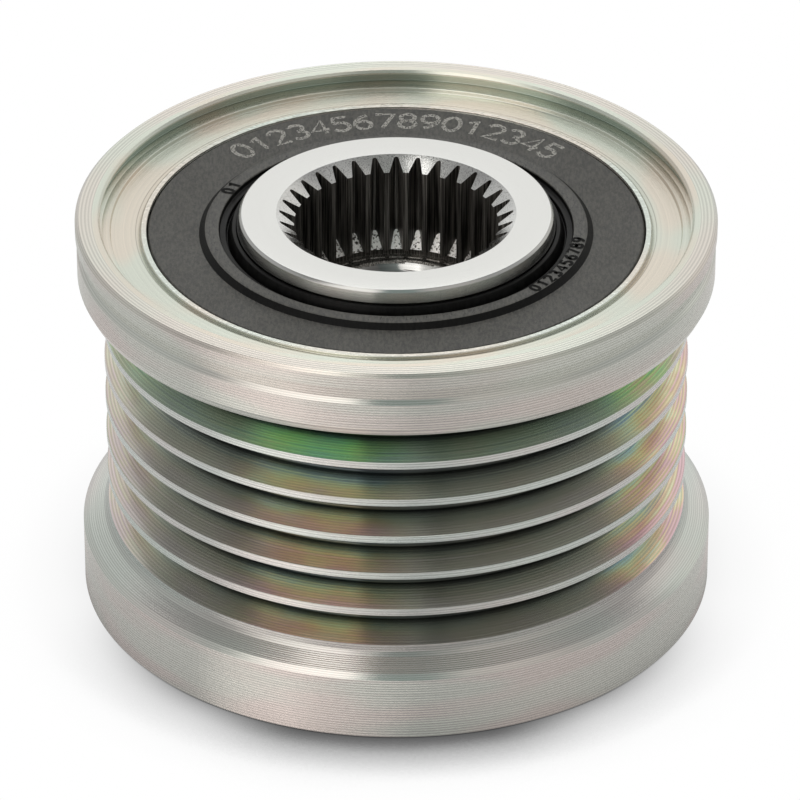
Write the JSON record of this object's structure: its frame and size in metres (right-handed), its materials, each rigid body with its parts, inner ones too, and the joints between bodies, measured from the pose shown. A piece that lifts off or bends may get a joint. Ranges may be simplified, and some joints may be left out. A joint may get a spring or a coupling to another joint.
{
  "type": "alternator pulley",
  "caption": "Poly-V alternator pulley with a built-in overrunning clutch: grooved rim between two flanges, sealed needle bearings, and a threaded hub with a toothed tool socket.",
  "frame": {"origin": "centre of the rear flange's face, on the turning axis", "axes": "+Z along the turning axis, out of the front face with the tool socket; a gap of the socket's serration lies at +Y"},
  "size_m": [0.054, 0.054, 0.0352],
  "materials": {
    "zinc_plated_steel": "satin",
    "ground_steel": "satin",
    "bearing_steel": "gloss",
    "black_rubber": "matte",
    "cage_plastic": "matte"
  },
  "bodies": {
    "hub": {"inner_ring_hub": "ground_steel", "clutch_ramp_ring": "bearing_steel", "clutch_cage": "cage_plastic", "clutch_spring_1": "bearing_steel", "clutch_spring_2": "bearing_steel", "clutch_spring_3": "bearing_steel", "clutch_spring_4": "bearing_steel", "clutch_spring_5": "bearing_steel", "clutch_spring_6": "bearing_steel", "clutch_spring_7": "bearing_steel", "clutch_spring_8": "bearing_steel"},
    "pulley": {"pulley_rim": "zinc_plated_steel", "outer_race_sleeve": "bearing_steel", "front_seal": "black_rubber", "rear_seal": "black_rubber"},
    "front_cage": {"front_needle_cage": "cage_plastic"},
    "rear_cage": {"rear_needle_cage": "cage_plastic"},
    "front_needle_1_body": {"front_needle_1": "bearing_steel"},
    "front_needle_2_body": {"front_needle_2": "bearing_steel"},
    "front_needle_3_body": {"front_needle_3": "bearing_steel"},
    "front_needle_4_body": {"front_needle_4": "bearing_steel"},
    "front_needle_5_body": {"front_needle_5": "bearing_steel"},
    "front_needle_6_body": {"front_needle_6": "bearing_steel"},
    "front_needle_7_body": {"front_needle_7": "bearing_steel"},
    "front_needle_8_body": {"front_needle_8": "bearing_steel"},
    "front_needle_9_body": {"front_needle_9": "bearing_steel"},
    "front_needle_10_body": {"front_needle_10": "bearing_steel"},
    "front_needle_11_body": {"front_needle_11": "bearing_steel"},
    "front_needle_12_body": {"front_needle_12": "bearing_steel"},
    "rear_needle_1_body": {"rear_needle_1": "bearing_steel"},
    "rear_needle_2_body": {"rear_needle_2": "bearing_steel"},
    "rear_needle_3_body": {"rear_needle_3": "bearing_steel"},
    "rear_needle_4_body": {"rear_needle_4": "bearing_steel"},
    "rear_needle_5_body": {"rear_needle_5": "bearing_steel"},
    "rear_needle_6_body": {"rear_needle_6": "bearing_steel"},
    "rear_needle_7_body": {"rear_needle_7": "bearing_steel"},
    "rear_needle_8_body": {"rear_needle_8": "bearing_steel"},
    "rear_needle_9_body": {"rear_needle_9": "bearing_steel"},
    "rear_needle_10_body": {"rear_needle_10": "bearing_steel"},
    "rear_needle_11_body": {"rear_needle_11": "bearing_steel"},
    "rear_needle_12_body": {"rear_needle_12": "bearing_steel"},
    "clutch_roller_1_body": {"clutch_roller_1": "bearing_steel"},
    "clutch_roller_2_body": {"clutch_roller_2": "bearing_steel"},
    "clutch_roller_3_body": {"clutch_roller_3": "bearing_steel"},
    "clutch_roller_4_body": {"clutch_roller_4": "bearing_steel"},
    "clutch_roller_5_body": {"clutch_roller_5": "bearing_steel"},
    "clutch_roller_6_body": {"clutch_roller_6": "bearing_steel"},
    "clutch_roller_7_body": {"clutch_roller_7": "bearing_steel"},
    "clutch_roller_8_body": {"clutch_roller_8": "bearing_steel"}
  },
  "joints": [
    {"name": "pulley_spin", "type": "hinge", "parent": "hub", "child": "pulley", "pos_m": [0, 0, 0.0174], "axis": [0, 0, 1], "continuous": true},
    {"name": "front_cage_spin", "type": "hinge", "parent": "hub", "child": "front_cage", "pos_m": [0, 0, 0.02595], "axis": [0, 0, 1], "continuous": true},
    {"name": "rear_cage_spin", "type": "hinge", "parent": "hub", "child": "rear_cage", "pos_m": [0, 0, 0.00875], "axis": [0, 0, 1], "continuous": true},
    {"name": "front_needle_1_spin", "type": "hinge", "parent": "front_cage", "child": "front_needle_1_body", "pos_m": [0.01715, 0, 0.02595], "axis": [0, 0, 1], "continuous": true},
    {"name": "front_needle_2_spin", "type": "hinge", "parent": "front_cage", "child": "front_needle_2_body", "pos_m": [0.01485, 0.00857, 0.02595], "axis": [0, 0, 1], "continuous": true},
    {"name": "front_needle_3_spin", "type": "hinge", "parent": "front_cage", "child": "front_needle_3_body", "pos_m": [0.00857, 0.01485, 0.02595], "axis": [0, 0, 1], "continuous": true},
    {"name": "front_needle_4_spin", "type": "hinge", "parent": "front_cage", "child": "front_needle_4_body", "pos_m": [0, 0.01715, 0.02595], "axis": [0, 0, 1], "continuous": true},
    {"name": "front_needle_5_spin", "type": "hinge", "parent": "front_cage", "child": "front_needle_5_body", "pos_m": [-0.00857, 0.01485, 0.02595], "axis": [0, 0, 1], "continuous": true},
    {"name": "front_needle_6_spin", "type": "hinge", "parent": "front_cage", "child": "front_needle_6_body", "pos_m": [-0.01485, 0.00857, 0.02595], "axis": [0, 0, 1], "continuous": true},
    {"name": "front_needle_7_spin", "type": "hinge", "parent": "front_cage", "child": "front_needle_7_body", "pos_m": [-0.01715, 0, 0.02595], "axis": [0, 0, 1], "continuous": true},
    {"name": "front_needle_8_spin", "type": "hinge", "parent": "front_cage", "child": "front_needle_8_body", "pos_m": [-0.01485, -0.00857, 0.02595], "axis": [0, 0, 1], "continuous": true},
    {"name": "front_needle_9_spin", "type": "hinge", "parent": "front_cage", "child": "front_needle_9_body", "pos_m": [-0.00857, -0.01485, 0.02595], "axis": [0, 0, 1], "continuous": true},
    {"name": "front_needle_10_spin", "type": "hinge", "parent": "front_cage", "child": "front_needle_10_body", "pos_m": [0, -0.01715, 0.02595], "axis": [0, 0, 1], "continuous": true},
    {"name": "front_needle_11_spin", "type": "hinge", "parent": "front_cage", "child": "front_needle_11_body", "pos_m": [0.00857, -0.01485, 0.02595], "axis": [0, 0, 1], "continuous": true},
    {"name": "front_needle_12_spin", "type": "hinge", "parent": "front_cage", "child": "front_needle_12_body", "pos_m": [0.01485, -0.00857, 0.02595], "axis": [0, 0, 1], "continuous": true},
    {"name": "rear_needle_1_spin", "type": "hinge", "parent": "rear_cage", "child": "rear_needle_1_body", "pos_m": [0.01715, 0, 0.00875], "axis": [0, 0, 1], "continuous": true},
    {"name": "rear_needle_2_spin", "type": "hinge", "parent": "rear_cage", "child": "rear_needle_2_body", "pos_m": [0.01485, 0.00857, 0.00875], "axis": [0, 0, 1], "continuous": true},
    {"name": "rear_needle_3_spin", "type": "hinge", "parent": "rear_cage", "child": "rear_needle_3_body", "pos_m": [0.00857, 0.01485, 0.00875], "axis": [0, 0, 1], "continuous": true},
    {"name": "rear_needle_4_spin", "type": "hinge", "parent": "rear_cage", "child": "rear_needle_4_body", "pos_m": [0, 0.01715, 0.00875], "axis": [0, 0, 1], "continuous": true},
    {"name": "rear_needle_5_spin", "type": "hinge", "parent": "rear_cage", "child": "rear_needle_5_body", "pos_m": [-0.00857, 0.01485, 0.00875], "axis": [0, 0, 1], "continuous": true},
    {"name": "rear_needle_6_spin", "type": "hinge", "parent": "rear_cage", "child": "rear_needle_6_body", "pos_m": [-0.01485, 0.00857, 0.00875], "axis": [0, 0, 1], "continuous": true},
    {"name": "rear_needle_7_spin", "type": "hinge", "parent": "rear_cage", "child": "rear_needle_7_body", "pos_m": [-0.01715, 0, 0.00875], "axis": [0, 0, 1], "continuous": true},
    {"name": "rear_needle_8_spin", "type": "hinge", "parent": "rear_cage", "child": "rear_needle_8_body", "pos_m": [-0.01485, -0.00857, 0.00875], "axis": [0, 0, 1], "continuous": true},
    {"name": "rear_needle_9_spin", "type": "hinge", "parent": "rear_cage", "child": "rear_needle_9_body", "pos_m": [-0.00857, -0.01485, 0.00875], "axis": [0, 0, 1], "continuous": true},
    {"name": "rear_needle_10_spin", "type": "hinge", "parent": "rear_cage", "child": "rear_needle_10_body", "pos_m": [0, -0.01715, 0.00875], "axis": [0, 0, 1], "continuous": true},
    {"name": "rear_needle_11_spin", "type": "hinge", "parent": "rear_cage", "child": "rear_needle_11_body", "pos_m": [0.00857, -0.01485, 0.00875], "axis": [0, 0, 1], "continuous": true},
    {"name": "rear_needle_12_spin", "type": "hinge", "parent": "rear_cage", "child": "rear_needle_12_body", "pos_m": [0.01485, -0.00857, 0.00875], "axis": [0, 0, 1], "continuous": true},
    {"name": "clutch_roller_1_spin", "type": "hinge", "parent": "hub", "child": "clutch_roller_1_body", "pos_m": [0.0176, 0, 0.01735], "axis": [0, 0, 1], "continuous": true},
    {"name": "clutch_roller_2_spin", "type": "hinge", "parent": "hub", "child": "clutch_roller_2_body", "pos_m": [0.01245, 0.01245, 0.01735], "axis": [0, 0, 1], "continuous": true},
    {"name": "clutch_roller_3_spin", "type": "hinge", "parent": "hub", "child": "clutch_roller_3_body", "pos_m": [0, 0.0176, 0.01735], "axis": [0, 0, 1], "continuous": true},
    {"name": "clutch_roller_4_spin", "type": "hinge", "parent": "hub", "child": "clutch_roller_4_body", "pos_m": [-0.01245, 0.01245, 0.01735], "axis": [0, 0, 1], "continuous": true},
    {"name": "clutch_roller_5_spin", "type": "hinge", "parent": "hub", "child": "clutch_roller_5_body", "pos_m": [-0.0176, 0, 0.01735], "axis": [0, 0, 1], "continuous": true},
    {"name": "clutch_roller_6_spin", "type": "hinge", "parent": "hub", "child": "clutch_roller_6_body", "pos_m": [-0.01245, -0.01245, 0.01735], "axis": [0, 0, 1], "continuous": true},
    {"name": "clutch_roller_7_spin", "type": "hinge", "parent": "hub", "child": "clutch_roller_7_body", "pos_m": [0, -0.0176, 0.01735], "axis": [0, 0, 1], "continuous": true},
    {"name": "clutch_roller_8_spin", "type": "hinge", "parent": "hub", "child": "clutch_roller_8_body", "pos_m": [0.01245, -0.01245, 0.01735], "axis": [0, 0, 1], "continuous": true}
  ],
  "couplings": [
    {"joint": "front_cage_spin", "follows": "pulley_spin", "ratio": 0.5481},
    {"joint": "rear_cage_spin", "follows": "pulley_spin", "ratio": 0.5481},
    {"joint": "front_needle_1_spin", "follows": "pulley_spin", "ratio": 5.1489},
    {"joint": "front_needle_2_spin", "follows": "pulley_spin", "ratio": 5.1489},
    {"joint": "front_needle_3_spin", "follows": "pulley_spin", "ratio": 5.1489},
    {"joint": "front_needle_4_spin", "follows": "pulley_spin", "ratio": 5.1489},
    {"joint": "front_needle_5_spin", "follows": "pulley_spin", "ratio": 5.1489},
    {"joint": "front_needle_6_spin", "follows": "pulley_spin", "ratio": 5.1489},
    {"joint": "front_needle_7_spin", "follows": "pulley_spin", "ratio": 5.1489},
    {"joint": "front_needle_8_spin", "follows": "pulley_spin", "ratio": 5.1489},
    {"joint": "front_needle_9_spin", "follows": "pulley_spin", "ratio": 5.1489},
    {"joint": "front_needle_10_spin", "follows": "pulley_spin", "ratio": 5.1489},
    {"joint": "front_needle_11_spin", "follows": "pulley_spin", "ratio": 5.1489},
    {"joint": "front_needle_12_spin", "follows": "pulley_spin", "ratio": 5.1489},
    {"joint": "rear_needle_1_spin", "follows": "pulley_spin", "ratio": 5.1489},
    {"joint": "rear_needle_2_spin", "follows": "pulley_spin", "ratio": 5.1489},
    {"joint": "rear_needle_3_spin", "follows": "pulley_spin", "ratio": 5.1489},
    {"joint": "rear_needle_4_spin", "follows": "pulley_spin", "ratio": 5.1489},
    {"joint": "rear_needle_5_spin", "follows": "pulley_spin", "ratio": 5.1489},
    {"joint": "rear_needle_6_spin", "follows": "pulley_spin", "ratio": 5.1489},
    {"joint": "rear_needle_7_spin", "follows": "pulley_spin", "ratio": 5.1489},
    {"joint": "rear_needle_8_spin", "follows": "pulley_spin", "ratio": 5.1489},
    {"joint": "rear_needle_9_spin", "follows": "pulley_spin", "ratio": 5.1489},
    {"joint": "rear_needle_10_spin", "follows": "pulley_spin", "ratio": 5.1489},
    {"joint": "rear_needle_11_spin", "follows": "pulley_spin", "ratio": 5.1489},
    {"joint": "rear_needle_12_spin", "follows": "pulley_spin", "ratio": 5.1489},
    {"joint": "clutch_roller_1_spin", "follows": "pulley_spin", "ratio": 15.667},
    {"joint": "clutch_roller_2_spin", "follows": "pulley_spin", "ratio": 15.667},
    {"joint": "clutch_roller_3_spin", "follows": "pulley_spin", "ratio": 15.667},
    {"joint": "clutch_roller_4_spin", "follows": "pulley_spin", "ratio": 15.667},
    {"joint": "clutch_roller_5_spin", "follows": "pulley_spin", "ratio": 15.667},
    {"joint": "clutch_roller_6_spin", "follows": "pulley_spin", "ratio": 15.667},
    {"joint": "clutch_roller_7_spin", "follows": "pulley_spin", "ratio": 15.667},
    {"joint": "clutch_roller_8_spin", "follows": "pulley_spin", "ratio": 15.667}
  ]
}
